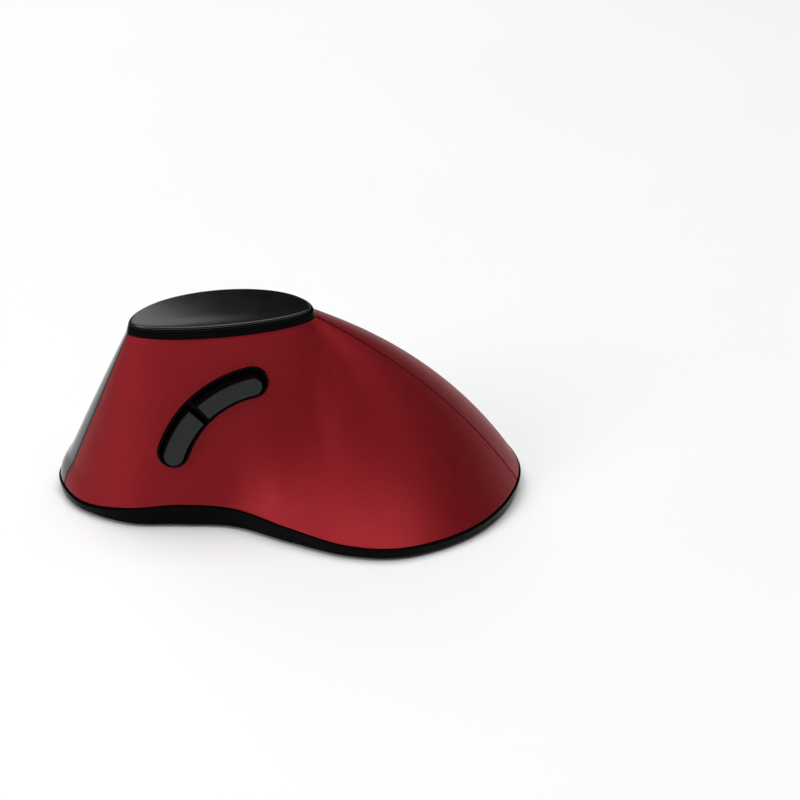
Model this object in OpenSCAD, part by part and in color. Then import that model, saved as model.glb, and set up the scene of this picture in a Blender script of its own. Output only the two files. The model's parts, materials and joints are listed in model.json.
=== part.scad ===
// Vertical ergonomic mouse for the right hand, free-standing and wireless.
// Y runs from tail to nose, -X is the thumb side, Z is up, the origin is on the desk below the centre.

/* [Body] */
// Length of the footprint from tail to nose
body_len = 120.3; // [114:0.1:126]
// Reach of the thumb lobe to the left of the centre line
lobe_reach = 36; // [34:0.1:38]
// Reach of the waist to the left of the centre line
waist_reach = 20; // [19:0.1:21]
// Reach of the palm side to the right of the centre line
palm_reach = 36.9; // [36:0.1:39]
// Height of the cap's seat above the desk
seat_z = 49.7; // [48:0.1:52]
// Wall thickness of the shells
wall = 2; // [1.7:0.1:2.2]

/* [Cap] */
// Length of the oval cap
cap_len = 47.5; // [44:0.1:50]
// Half width of the cap toward the thumb
cap_near = 6.5; // [6:0.1:7.5]
// Half width of the cap toward the fingers
cap_far = 13.5; // [12:0.1:14.5]
// Rise of the cap's top face above its seat
cap_rise = 2.6; // [2.4:0.1:3.2]

/* [Base] */
// Height of the glide feet below the base
foot_gap = 0.6; // [0.5:0.1:0.8]
// Thickness of the base floor
floor_t = 1.4; // [1.2:0.1:1.5]
// Radius of a glide foot
foot_r = 4.2; // [3:0.1:4.6]

/* [Keys and wheel] */
// Gap around each main key
key_gap = 0.5; // [0.4:0.05:0.7]
// Radius of the scroll wheel
wheel_r = 10.5; // [10:0.1:10.7]
// Width of the scroll wheel
wheel_w = 6.5; // [5.5:0.1:6.7]
// Depth of the wheel's axle below the key surface
wheel_sink = 6; // [5.5:0.1:6.5]
// Radius of the hinge rod of the main keys
rod_r = 1.2; // [1:0.05:1.3]

/* [Side buttons] */
// Radius of the arc the side buttons follow
arc_r = 27; // [26:0.1:28]
// Half width of the bezel around the side buttons
bezel_half = 4; // [3.9:0.1:4.3]
// Height of the side buttons above the thumb surface
side_proud = 3.6; // [2.6:0.1:4.2]

/* [Power] */
// Radius of a cell
cell_r = 5.25; // [5:0.05:5.3]
// Length of a cell
cell_len = 44.5; // [43:0.1:45]
// Travel of the power slider
slide_travel = 3; // [2:0.1:3.5]

/* [Hidden] */
// Part to draw, or all of them
$fn = 48;

nose = body_len / 2;
tail = -body_len / 2;
floor_z = foot_gap + floor_t;

// Clearances
seam = 0.15;
rim_gap = 0.2;
move_gap = 0.3;
run_fit = 0.05;
set_fit = 0.02;
rest_gap = 0.02;
swing_gap = 0.3;

// Reach of a cut past the face it opens, depth of a root in the solid it joins, and a span past everything
over = 1;
root = 0.5;
far = 60;

// Stations around the footprint: x, y, angle on the cap, rim height, bulge, toe
stations = [
  [-14, nose - 8.5, 24, 3.4, -0.02, 0],
  [0.6 - waist_reach, 41, 52, 5.2, -0.06, 0],
  [-waist_reach, 28, 78, 6.5, -0.12, 0],
  [-waist_reach - 1.2, 14.5, 104, 6, -0.22, 0],
  [7.4 - lobe_reach, 1, 128, 4.9, -0.38, 0],
  [0.5 - lobe_reach, -14, 146, 3.7, -0.45, 0],
  [-lobe_reach, -29, 158, 3.5, -0.30, 0],
  [9.2 - lobe_reach, tail + 15, 168, 3.4, 0.02, 0],
  [-12, tail + 4, 176, 4, 0.25, 0],
  [6, tail, 184, 4.5, 0.34, 0],
  [23.5, tail + 7, 194, 4.8, 0.34, 0],
  [palm_reach - 2.5, -35, 210, 5, 0.30, 0],
  [palm_reach, -10, 236, 5, 0.22, 0],
  [palm_reach - 3.4, 16, 268, 5, 0.16, 0],
  [palm_reach - 10.7, 40, 305, 5, 0.12, 0],
  [15.5, nose - 5.1, 335, 5, 0.06, 0.5],
  [3, nose, 354, 4.4, 0.02, 1],
  [-7, nose - 2.5, 368, 3.5, 0, 0.5]
];
laps = len(stations);
toe_top = 0.14;
toe_out = 0.6;

// Cap outline on its tilted seat
cap_x = -3;
cap_y = 17.6;
cap_turn = 6;
cap_roll = 5;
cap_pitch = 2.2;

// Seams of the shells, counted in stations round the body
seam_front = -1.3;
seam_rear = 8.5;
key_rear = 12.4;
key_front = 15.3;
skirt_v = 0.19;
spine_lo = 0.455;
spine_hi = 0.665;

function unit(p) = p / norm(p);
function blend(a, b, c, d, t) =
  0.5 * (2 * b + (c - a) * t + (2 * a - 5 * b + 4 * c - d) * t * t + (3 * b - a - 3 * c + d) * t * t * t);
function station(k) =
  let(lap = floor(k / laps))
  stations[k - lap * laps] + [0, 0, 360 * lap, 0, 0, 0];
function row(u) =
  let(i = floor(u))
  blend(station(i - 1), station(i), station(i + 1), station(i + 2), u - i);
function around(c, half) = [c - half, c + half];
function flip(y) = [-y[1], -y[0]];

// Point of the cap's outline, grown outward and lifted from its seat
function cap_pt(a, grow, lift) =
  let(
    side = sin(a) > 0 ? cap_near : cap_far,
    ly = (cap_len / 2 + grow) * cos(a),
    lx = -(side + grow) * sin(a),
    x = cap_x + cos(cap_turn) * lx - sin(cap_turn) * ly,
    y = cap_y + sin(cap_turn) * lx + cos(cap_turn) * ly
  )
  [x, y, seat_z + tan(cap_roll) * (x - cap_x) - tan(cap_pitch) * (y - cap_y) + lift];

// Point of the body's surface on one station row, v runs from the rim to the cap
function body_pt(r, v) =
  let(
    t = cap_pt(r[2], 0, 0),
    h = (1 - r[4]) * v + r[4] * (1 - cos(90 * v)),
    g = (1 - r[4]) * v + r[4] * sin(90 * v),
    out = unit([r[0] - t[0], r[1] - t[1]]),
    toe = v < toe_top ? toe_out * r[5] * sin(180 * v / toe_top) : 0
  )
  [
    r[0] + (t[0] - r[0]) * h + out[0] * toe,
    r[1] + (t[1] - r[1]) * h + out[1] * toe,
    r[3] + (t[2] - r[3]) * g
  ];

// Same point moved along the surface by su and sv and sunk into the body
d_u = 0.02;
d_v = 0.005;
sink_v = 0.15;
function skin_pt(r, ra, rb, v, su, sv, depth) =
  let(
    eu = unit(body_pt(rb, v) - body_pt(ra, v)),
    ev = unit(body_pt(r, v + d_v) - body_pt(r, v - d_v)),
    n = unit(cross(eu, ev)),
    flat = [n[0], n[1], 0] / (n[0] * n[0] + n[1] * n[1]),
    k = min(1, v / sink_v)
  )
  body_pt(r, v) + su * eu + sv * ev - depth * (n * k + flat * (1 - k));
function skin(us, vs, depth) = [
  for (u = us)
    let(r = row(u[0]), ra = row(u[0] - d_u), rb = row(u[0] + d_u))
    each [for (v = vs) skin_pt(r, ra, rb, v[0], u[1], v[1], depth)]
];
function normal_at(u, v) =
  unit(cross(body_pt(row(u + d_u), v) - body_pt(row(u - d_u), v),
    body_pt(row(u), v + d_v) - body_pt(row(u), v - d_v)));

// Row of grid values with both ends pulled in by a gap
function span(a, b, n, low, high) = [
  for (i = [0:n]) [a + (b - a) * i / n, i == 0 ? low : i == n ? -high : 0]
];

// Curved plate between the surface and its sunk copy, without the cells past cut_u and cut_v
function kept(us, vs, cut_u, cut_v, i, j) =
  i >= 0 && j >= 0 && i < len(us) - 1 && j < len(vs) - 1
  && !(us[i][0] > cut_u - d_v && vs[j][0] > cut_v - d_v);
function edge_faces(a, b, n) = [[b, a, a + n], [b, a + n, b + n]];
module plate(us, vs, depth, cut_u = 99, cut_v = 99) {
  m = len(vs);
  n = len(us) * m;
  faces = [
    for (i = [0:len(us) - 2])
      for (j = [0:m - 2])
        if (kept(us, vs, cut_u, cut_v, i, j))
          let(a = i * m + j, b = a + 1, c = a + m + 1, d = a + m)
          each concat(
            [[a, b, c], [a, c, d], [a + n, c + n, b + n], [a + n, d + n, c + n]],
            kept(us, vs, cut_u, cut_v, i - 1, j) ? [] : edge_faces(a, b, n),
            kept(us, vs, cut_u, cut_v, i, j + 1) ? [] : edge_faces(b, c, n),
            kept(us, vs, cut_u, cut_v, i + 1, j) ? [] : edge_faces(c, d, n),
            kept(us, vs, cut_u, cut_v, i, j - 1) ? [] : edge_faces(d, a, n)
          )
  ];
  polyhedron(concat(skin(us, vs, 0), skin(us, vs, depth)), faces, 10);
}

// Solid through stacked rings, closed by a point below and a point above
function band_faces(k, m) = [
  for (i = [0:m - 1])
    let(a = k * m + i, b = k * m + (i + 1) % m)
    each [[a, a + m, b + m], [a, b + m, b]]
];
module stack(rings, low, high) {
  m = len(rings[0]);
  n = len(rings);
  faces = concat(
    [for (k = [0:n - 2]) each band_faces(k, m)],
    [for (i = [0:m - 1]) [n * m, i, (i + 1) % m]],
    [for (i = [0:m - 1]) [n * m + 1, (n - 1) * m + (i + 1) % m, (n - 1) * m + i]]
  );
  polyhedron(concat([for (r = rings) each r], [low, high]), faces, 10);
}

// Hoop through rings, the last ring joined to the first
module hoop(rings) {
  m = len(rings[0]);
  n = len(rings);
  faces = [
    for (k = [0:n - 1])
      for (i = [0:m - 1])
        let(j = (i + 1) % m, l = (k + 1) % n)
        each [[k * m + i, l * m + i, l * m + j], [k * m + i, l * m + j, k * m + j]]
  ];
  polyhedron([for (r = rings) each r], faces, 10);
}

// Local frames: x forward or back along the surface, y up, z outward
module in_frame(o, x, y, z) {
  multmatrix([
    [x[0], y[0], z[0], o[0]],
    [x[1], y[1], z[1], o[1]],
    [x[2], y[2], z[2], o[2]],
    [0, 0, 0, 1]
  ])
    children();
}
deck_u = 13.7;
deck_v = 0.56;
deck_o = body_pt(row(deck_u), deck_v);
deck_z = normal_at(deck_u, deck_v);
deck_run = body_pt(row(deck_u + d_u), deck_v) - body_pt(row(deck_u - d_u), deck_v);
deck_x = unit(deck_run - (deck_run * deck_z) * deck_z);
deck_y = cross(deck_z, deck_x);
module on_deck() {
  in_frame(deck_o, deck_x, deck_y, deck_z)
    children();
}
function on_deck_pt(p) = [(p - deck_o) * deck_x, (p - deck_o) * deck_y, (p - deck_o) * deck_z];
function from_deck(p) = deck_o + p[0] * deck_x + p[1] * deck_y + p[2] * deck_z;

// Height of the key surface over a point of the deck frame
function deck_seek(x, y, u, v, turns) =
  let(
    p = on_deck_pt(body_pt(row(u), v)),
    pu = (on_deck_pt(body_pt(row(u + d_u), v)) - p) / d_u,
    pv = (on_deck_pt(body_pt(row(u), v + d_v)) - p) / d_v,
    det = pu[0] * pv[1] - pu[1] * pv[0],
    du = ((x - p[0]) * pv[1] - (y - p[1]) * pv[0]) / det,
    dv = ((y - p[1]) * pu[0] - (x - p[0]) * pu[1]) / det
  )
  turns == 0 ? p[2] : deck_seek(x, y, u + du, v + dv, turns - 1);
function deck_top(x, y) = deck_seek(x, y, deck_u, deck_v, 6);

side_u = 2.356;
side_v = 0.569;
side_o = body_pt(row(side_u), side_v);
side_z = normal_at(side_u, side_v);
side_x = -unit(cross(side_z, [0, 0, 1]));
side_y = cross(side_z, side_x);
module on_side() {
  in_frame(side_o, side_x, side_y, side_z)
    children();
}
function from_side(p) = side_o + p[0] * side_x + p[1] * side_y + p[2] * side_z;

module block(x, y, z) {
  translate([x[0], y[0], z[0]])
    cube([x[1] - x[0], y[1] - y[0], z[1] - z[0]]);
}
module rod(at, r, z) {
  translate([at[0], at[1], z[0]])
    cylinder(r = r, h = z[1] - z[0]);
}
// Round bar along the local y axis
module bar_y(x, z, r, y) {
  translate([x, y[0], z])
    rotate([-90, 0, 0])
      cylinder(r = r, h = y[1] - y[0]);
}

// Case screws and the bosses they enter
thumb_bosses = [[-12.8, 42], [-22, -14]];
palm_bosses = [[20, -36], [29, -2]];
fascia_bosses = [[2, 52]];
post_spots = [[17.6, 10.9], [6.3, 37.6], [6, 10.6]];
screw_spots = concat(thumb_bosses, palm_bosses, fascia_bosses, post_spots);
screw_r = 1;
screw_head_r = 2;
screw_head_h = 1.4;
screw_len = 7.7;
screw_seat_z = 2.8;
screw_bore_r = 1.3;
head_bore_r = 2.3;
tray_boss_r = 3.2;
tray_boss_z = 4.2;
boss_r = 2.8;
post_r = 2.6;
boss_gap = 0.1;
boss_z = tray_boss_z + boss_gap;
boss_sink = 0.6;
pilot_z = screw_seat_z + screw_len + over;
cross_long = 2.4;
cross_wide = 0.5;
cross_deep = 0.6;

// Closed inner body that trims the bosses so that they end inside the wall
core_cols = 54;
core_rows = 9;
module core() {
  us = [for (i = [0:core_cols - 1]) [laps * i / core_cols, 0]];
  vs = [for (j = [0:core_rows]) j / core_rows];
  rings = [for (v = vs) skin(us, [[v, 0]], boss_sink)];
  foot = [for (p = rings[0]) [p[0], p[1], floor_z]];
  stack(concat([foot], rings), [0, 0, floor_z], cap_pt(0, -cap_len / 2, -boss_sink));
}
module bosses(spots) {
  intersection() {
    core();
    union() {
      for (p = spots)
        rod(p, boss_r, [boss_z, seat_z]);
    }
  }
}
module pilots(spots) {
  for (p = spots)
    rod(p, screw_r + set_fit, [boss_z - over, pilot_z]);
}

// Base tray
rim_cols = 90;
rim_in = 2;
rim_lip = 0.4;
lip_drop = 0.5;
lip_in = 0.2;
edge_in = 1;
edge_low = 0.2;
edge_high = 0.6;
bay_x = [-7.2, 15.2];
bay_y = [-43, 5.9];
bay_wall = 1;
bay_top = 14.2;
pocket_x = [17.7, 24.8];
pocket_y = [-29.3, -10];
pocket_top = 15.7;
board_z = 6.4;
board_t = 1.6;
stand_spots = [[-6.3, 17.5], [13, 17.5], [12.5, 40.5], [-6.3, 27.3]];
stand_r = 2.2;
sensor_at = [3, 26];
sensor_r = 3.6;
slider_at = [-4.5, 38.8];
knob_x = 4.4;
knob_y = 4;
foot_spots = [[12, 49.5], [-9, 48.5], [-25, -27], [24, -44], [29.5, 9]];
foot_sunk = 0.2;

function rim_pt(u, out, z) =
  let(t = row(u + d_u) - row(u - d_u), r = row(u), n = unit([t[1], -t[0]]))
  [r[0] + n[0] * out, r[1] + n[1] * out, z < 0 ? r[3] + z : z];
function rim_ring(out, z) = [for (i = [0:rim_cols - 1]) rim_pt(laps * i / rim_cols, out, z)];
module tray_shell() {
  stack(
    [
      rim_ring(-edge_in, foot_gap),
      rim_ring(-edge_in / 3, foot_gap + edge_low),
      rim_ring(0, foot_gap + edge_high),
      rim_ring(rim_lip, -rim_gap - lip_drop),
      rim_ring(rim_lip - lip_in, -rim_gap),
      rim_ring(-rim_in, -rim_gap),
      rim_ring(-rim_in, floor_z)
    ],
    [0, 0, foot_gap],
    [0, 0, floor_z]
  );
}
module tray_box(x, y, top) {
  block(
    [x[0] - bay_wall, x[1] + bay_wall],
    [y[0] - bay_wall, y[1] + bay_wall],
    [foot_gap + root, top + bay_wall]
  );
}
module base_tray() {
  color("#111113")
    difference() {
      union() {
        tray_shell();
        tray_box(bay_x, bay_y, bay_top);
        tray_box(pocket_x, pocket_y, pocket_top);
        for (p = screw_spots)
          rod(p, tray_boss_r, [foot_gap + root, tray_boss_z]);
        for (p = stand_spots)
          rod(p, stand_r, [foot_gap + root, board_z]);
      }
      block(bay_x, bay_y, [-over, bay_top]);
      block(pocket_x, pocket_y, [-over, pocket_top]);
      for (p = screw_spots) {
        rod(p, head_bore_r, [-over, screw_seat_z]);
        rod(p, screw_bore_r, [-over, tray_boss_z + over]);
      }
      for (p = stand_spots)
        rod(p, pin_r + set_fit, [floor_z, board_z + over]);
      rod(sensor_at, sensor_r, [-over, floor_z + over]);
      for (p = foot_spots)
        rod(p, foot_r + seam, [-over, foot_gap + foot_sunk]);
      block(
        around(slider_at[0], knob_x / 2 + move_gap),
        around(slider_at[1], knob_y / 2 + slide_travel / 2 + move_gap),
        [-over, floor_z + over]
      );
    }
}

// Shells
thumb_cols = 40;
palm_cols = 17;
skirt_cols = 12;
front_cols = 8;
hole_z = [-4, 6];
shell_v = [for (v = [0, 0.06, 0.12, skirt_v, 0.27, 0.36, 0.46, 0.56, 0.66, 0.76, 0.86, 0.93, 1]) [v, 0]];
module thumb_shell() {
  color("#8a2529")
    difference() {
      union() {
        plate(span(seam_front, seam_rear, thumb_cols, seam, seam), shell_v, wall);
        bosses(thumb_bosses);
      }
      pilots(thumb_bosses);
      on_side()
        arc_bar(bezel_half + seam, arc_from, arc_to, hole_z, true, true);
    }
}
palm_u = concat(
  span(seam_rear, key_rear, palm_cols, seam, 0),
  [for (i = [1:skirt_cols]) span(key_rear, key_front, skirt_cols, 0, seam)[i]]
);
module palm_shell() {
  color("#8a2529")
    difference() {
      union() {
        plate(palm_u, shell_v, wall, key_rear, skirt_v);
        bosses(palm_bosses);
      }
      pilots(palm_bosses);
    }
}
module front_fascia() {
  color("#18181a")
    difference() {
      union() {
        plate(span(key_front, seam_front + laps, front_cols, seam, seam), shell_v, wall);
        bosses(fascia_bosses);
      }
      pilots(fascia_bosses);
    }
}

// Cap
cap_cols = 64;
ring_w = 0.35;
ring_in = 0.55;
ring_drop = 0.55;
ring_top = cap_rise - ring_drop;
ledge_drop = 1.4;
spigot_out = 3.2;
spigot_in = 4.2;
spigot_drop = 3.5;
ring_over = 0.1;
ring_foot = 0.3;
ring_round = 0.4;
lens_edge_rise = 0.1;
lens_shoulder = [0.45, 0.1];
lens_field = [2, 0.3];
lens_crown = 0.45;
function cap_ring_pts(grow, lift) = [for (i = [0:cap_cols - 1]) cap_pt(360 * i / cap_cols, grow, lift)];
module cap_ring() {
  lens_edge = -ring_in - ring_w;
  color("#0c0c0e")
    hoop([
      cap_ring_pts(-spigot_in, -spigot_drop),
      cap_ring_pts(-spigot_out, -spigot_drop),
      cap_ring_pts(-spigot_out, seam),
      cap_ring_pts(ring_over, seam),
      cap_ring_pts(ring_over, seam + ring_foot),
      cap_ring_pts(ring_foot - ring_in, ring_top - ring_round),
      cap_ring_pts(-ring_in, ring_top),
      cap_ring_pts(lens_edge, ring_top),
      cap_ring_pts(lens_edge, cap_rise - ledge_drop),
      cap_ring_pts(-spigot_in, cap_rise - ledge_drop)
    ]);
}
module cap_lens() {
  edge = -ring_in - ring_w - seam;
  low = cap_rise - ledge_drop + set_fit;
  color("#1b1b1e")
    stack(
      [
        cap_ring_pts(edge, low),
        cap_ring_pts(edge, ring_top + lens_edge_rise),
        cap_ring_pts(edge - lens_shoulder[0], cap_rise + lens_shoulder[1]),
        cap_ring_pts(edge - lens_field[0], cap_rise + lens_field[1])
      ],
      cap_pt(0, -cap_len / 2, low),
      cap_pt(0, -cap_len / 2, cap_rise + lens_crown)
    );
}

// Main keys, their hinge and the chassis below them, in the deck frame
hinge_x = -19.5;
hinge_z = -8.8;
knuckle_r = 2;
lug_x = [-20.3, -17.4];
lug_y = [9.2, 13.2];
knuckle_y = [[6.3, 8.9], [13.5, 16.4]];
chassis_z = [-15.62, -13.62];
key_board_z = [-13.6, -12];
post_top = -14.6;
left_at = on_deck_pt(body_pt(row(14.1), 0.8));
right_at = on_deck_pt(body_pt(row(14.3), 0.3));
switch_top = 6.5;
plunger_top = 7.3;
post_low = key_board_z[1] + plunger_top + rest_gap;
plunger_x = 2.6;
plunger_y = 1.4;
switch_back = 2;
key_post_r = 1.8;
into_wall = wall * 0.6;
key_cols = 14;
left_rows = 7;
right_rows = 6;
spine_rows = 4;

module key_lug(side) {
  y = side > 0 ? lug_y : flip(lug_y);
  top = deck_top(hinge_x, side * (lug_y[0] + lug_y[1]) / 2) - into_wall;
  block(lug_x, y, [hinge_z, top]);
  bar_y(hinge_x, hinge_z, knuckle_r, y);
}
module key_post(at) {
  rod([at[0], at[1]], key_post_r, [post_low, at[2] - into_wall]);
}
module main_key(vs, at, side) {
  difference() {
    union() {
      plate(span(key_rear, key_front, key_cols, key_gap, key_gap + swing_gap), vs, wall);
      on_deck() {
        key_lug(side);
        key_post(at);
      }
    }
    on_deck()
      bar_y(hinge_x, hinge_z, rod_r + run_fit, side > 0 ? [0, far] : [-far, 0]);
  }
}
module left_key() {
  color("#1d1d20")
    main_key(span(spine_hi, 1, left_rows, key_gap / 2, key_gap), left_at, 1);
}
module right_key() {
  color("#1d1d20")
    main_key(span(skirt_v, spine_lo, right_rows, key_gap, key_gap / 2), right_at, -1);
}
module hinge_rod() {
  color("#b9bcc0")
    on_deck()
      bar_y(hinge_x, hinge_z, rod_r, [-knuckle_y[1][1], knuckle_y[1][1]]);
}

chassis_x = [-21.5, 14];
chassis_y = [-14, 9];
tower_x = [chassis_x[0], -18.2];
wing_x = [chassis_x[0], -14.5];
window_x = 8.4;
carrier_y = 5.9;
module key_chassis() {
  color("#2c2e31")
    difference() {
      union() {
        on_deck() {
          block(chassis_x, chassis_y, chassis_z);
          block(wing_x, [chassis_y[1] - root, knuckle_y[1][1]], chassis_z);
          block(tower_x, [-knuckle_y[1][1], chassis_y[0] + root], chassis_z);
          for (s = [-1, 1])
            for (k = knuckle_y)
              let(y = s > 0 ? k : flip(k)) {
                block(tower_x, y, [chassis_z[1] - root, hinge_z]);
                bar_y(hinge_x, hinge_z, knuckle_r, y);
              }
        }
        difference() {
          for (p = post_spots)
            rod(p, post_r, [boss_z, seat_z]);
          on_deck()
            block([-far, far], [-far, far], [post_top, far]);
        }
      }
      pilots(post_spots);
      on_deck() {
        block([-window_x, window_x], [-1, 1] * (carrier_y + move_gap), [-far, 0]);
        bar_y(hinge_x, hinge_z, rod_r + set_fit, [-far, far]);
        for (p = key_screw_spots)
          rod(p, pin_r + set_fit, [-far, 0]);
      }
    }
}

// Strip between the keys with the wheel slot and the dpi opening
leg_half = 4.4;
slot_x = 10.9;
slot_side = 0.5;
slot_z = [-8, 8];
dpi_x = -15.5;
dpi_long = 5.4;
dpi_wide = 3.6;
leg_rear = [-12.4, -11.2];
leg_front = [11.2, 13];
module spine_leg(x, low, high) {
  block(x, [-leg_half, leg_half], [low, high]);
}
module wheel_spine() {
  color("#0f0f11")
    difference() {
      union() {
        plate(
          span(key_rear, key_front, key_cols, key_gap, key_gap),
          span(spine_lo, spine_hi, spine_rows, key_gap / 2, key_gap / 2),
          wall
        );
        on_deck() {
          spine_leg(leg_rear, key_board_z[1] + set_fit, deck_top(leg_rear[0], 0) - into_wall);
          spine_leg(leg_front, chassis_z[1] + set_fit, deck_top(leg_front[1], 0) - into_wall);
        }
      }
      on_deck() {
        block([-slot_x, slot_x], [-1, 1] * (wheel_w / 2 + slot_side), slot_z);
        block(around(dpi_x, dpi_long / 2 + move_gap), [-1, 1] * (dpi_wide / 2 + move_gap), slot_z);
      }
    }
}

// Scroll wheel on its sprung carrier
axle_r = 1.2;
axle_y = [-7.4, 8.4];
tyre_t = 1.9;
tyre_drop = 0.8;
tyre_round = 1;
hub_side = 0.5;
hub_boss_r = 2.6;
hub_dish_r = 3.4;
hub_rim = 1.2;
hub_dish = 1.5;
arm_x = [-4, 4];
arm_top = -3.6;
carrier_t = 1.2;
carrier_gap = 0.7;
encoder_x = [-5, 5];
encoder_y = [carrier_y + set_fit, axle_y[1]];
encoder_z = [-10.5, -3.8];
ear_x = [-2.5, 2.5];
ear_y = -11.2;
ear_z = [-8.8, -7.3];
tact_top = 3;
module wheel_tyre() {
  color("#202124")
    on_deck()
      translate([0, 0, -wheel_sink])
        rotate([90, 0, 0])
          rotate_extrude($fn = 96)
            polygon([
              [wheel_r - tyre_t, -wheel_w / 2],
              [wheel_r - tyre_drop, -wheel_w / 2],
              [wheel_r, tyre_round - wheel_w / 2],
              [wheel_r, wheel_w / 2 - tyre_round],
              [wheel_r - tyre_drop, wheel_w / 2],
              [wheel_r - tyre_t, wheel_w / 2]
            ]);
}
module wheel_hub() {
  hub_r = wheel_r - tyre_t - set_fit;
  color("#5a5d61")
    on_deck()
      difference() {
        union() {
          bar_y(0, -wheel_sink, hub_r, [-1, 1] * wheel_w / 2);
          bar_y(0, -wheel_sink, hub_boss_r, [-1, 1] * (wheel_w / 2 + hub_side));
        }
        for (s = [-1, 1])
          translate([0, s * wheel_w / 2, -wheel_sink])
            rotate([90, 0, 0])
              difference() {
                cylinder(r = hub_r - hub_rim, h = 2 * hub_dish, center = true);
                cylinder(r = hub_dish_r, h = 2 * hub_dish + over, center = true);
              }
        bar_y(0, -wheel_sink, axle_r + set_fit, [-far, far]);
      }
}
module wheel_axle() {
  color("#c4c6c9")
    on_deck()
      bar_y(0, -wheel_sink, axle_r, axle_y);
}
module wheel_carrier() {
  arm_in = wheel_w / 2 + hub_side + move_gap;
  low = -wheel_sink - wheel_r - carrier_gap - carrier_t;
  color("#3a3c40")
    on_deck()
      difference() {
        union() {
          for (s = [-1, 1])
            block(arm_x, s > 0 ? [arm_in, carrier_y] : [-carrier_y, -arm_in], [low, arm_top]);
          block(arm_x, [-carrier_y, carrier_y], [low, low + carrier_t]);
          block(ear_x, [ear_y, -arm_in], ear_z);
        }
        bar_y(0, -wheel_sink, axle_r + run_fit, [-far, far]);
      }
}
module wheel_encoder() {
  color("#24506b")
    on_deck()
      difference() {
        block(encoder_x, encoder_y, encoder_z);
        bar_y(0, -wheel_sink, axle_r + run_fit, [0, far]);
      }
}

// Small push switch: a square body with a round stem
tact_half = 2.3;
tact_body = 2.4;
stem_r = 0.95;
stem_low = 1.6;
tact_bore_z = 0.8;
module tact_case() {
  difference() {
    block([-tact_half, tact_half], [-tact_half, tact_half], [0, tact_body]);
    rod([0, 0], stem_r + run_fit, [tact_bore_z, tact_body + over]);
  }
}
module tact_stem() {
  rod([0, 0], stem_r, [stem_low, tact_top]);
}
wheel_switch_at = [0, -8.9, key_board_z[1]];
dpi_switch_at = [dpi_x, 0, key_board_z[1]];
module wheel_switch() {
  color("#3b3b3e")
    on_deck()
      translate(wheel_switch_at)
        tact_case();
}
module wheel_stem() {
  color("#8c2f2a")
    on_deck()
      translate(wheel_switch_at)
        tact_stem();
}
module dpi_switch() {
  color("#3b3b3e")
    on_deck()
      translate(dpi_switch_at)
        tact_case();
}
module dpi_stem() {
  color("#8c2f2a")
    on_deck()
      translate(dpi_switch_at)
        tact_stem();
}
dpi_proud = 0.8;
dpi_flange_out = 0.9;
dpi_flange_t = 1;
dpi_flange_gap = 1;
dpi_post_r = 1.4;
module dpi_button() {
  top = deck_top(dpi_x, 0);
  flange_top = top - wall - dpi_flange_gap;
  flange_low = flange_top - dpi_flange_t;
  long = around(dpi_x, dpi_long / 2);
  color("#55585c")
    on_deck() {
      block(long, [-1, 1] * dpi_wide / 2, [flange_low, top + dpi_proud]);
      block(long, [-1, 1] * (dpi_wide / 2 + dpi_flange_out), [flange_low, flange_top]);
      rod([dpi_x, 0], dpi_post_r, [key_board_z[1] + tact_top + rest_gap, flange_low + root]);
    }
}

// Microswitches under the main keys and the board that carries them
switch_long = 12.8;
switch_wide = 5.8;
plunger_low = 5;
plunger_well = 3.8;
module micro_case(at) {
  z = key_board_z[1];
  on_deck()
    difference() {
      block(
        around(at[0] - switch_back, switch_long / 2),
        around(at[1], switch_wide / 2),
        [z, z + switch_top]
      );
      block(
        around(at[0], plunger_x / 2 + move_gap),
        around(at[1], plunger_y / 2 + move_gap),
        [z + plunger_well, z + switch_top + over]
      );
    }
}
module micro_plunger(at) {
  z = key_board_z[1];
  on_deck()
    block(
      around(at[0], plunger_x / 2),
      around(at[1], plunger_y / 2),
      [z + plunger_low, z + plunger_top]
    );
}
module left_switch() {
  color("#26282b")
    micro_case(left_at);
}
module right_switch() {
  color("#26282b")
    micro_case(right_at);
}
module left_plunger() {
  color("#e8e6de")
    micro_plunger(left_at);
}
module right_plunger() {
  color("#e8e6de")
    micro_plunger(right_at);
}
key_screw_spots = [[-12, 11], [-12, -11]];
pin_r = 0.8;
pin_head_r = 1.6;
pin_head_h = 1;
pin_len = 3.4;
key_board_x = [-17.9, 16];
key_board_y = [-14.5, 15];
notch_x = -9.8;
notch_half = 6.6;
module key_board() {
  color("#1f5c3a")
    on_deck()
      difference() {
        block(key_board_x, key_board_y, key_board_z);
        block([notch_x, far], [-notch_half, notch_half], [-far, 0]);
        for (p = key_screw_spots)
          rod(p, pin_r + seam, [-far, 0]);
      }
}

// Side buttons along an arc on the thumb side, in the side frame
arc_o = [15.7, -18.3];
arc_from = 101;
arc_to = 161;
arc_mid = 134.2;
mid_half = 2.1;
button_half = 3;
flange_out = 0.6;
bezel_top = 0.35;
bezel_flange_z = [-4.6, -3.6];
side_flange_z = [-5.8, -4.9];
side_board_z = [-10.2, -9];
side_post_r = 1.4;
side_post_at = 5.7;
bezel_flange_half = 7.2;
flange_short = 4;
function arc_turn(d) = d / (arc_r - button_half) * 180 / PI;
module arc_at(a, r) {
  translate(arc_o)
    rotate([0, 0, a])
      translate([r, 0, 0])
        children();
}
arc_steps = 24;
end_steps = 14;
function polar(r, a) = [r * cos(a), r * sin(a)];
function arc_end(half, a, turn) = [
  for (i = [1:end_steps - 1]) polar(arc_r, a) + polar(half, a + turn + 180 * i / end_steps)
];
function arc_outline(half, from, to, round_from, round_to) = concat(
  [for (i = [0:arc_steps]) polar(arc_r + half, from + (to - from) * i / arc_steps)],
  round_to ? arc_end(half, to, 0) : [],
  [for (i = [0:arc_steps]) polar(arc_r - half, to + (from - to) * i / arc_steps)],
  round_from ? arc_end(half, from, 180) : []
);
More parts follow.
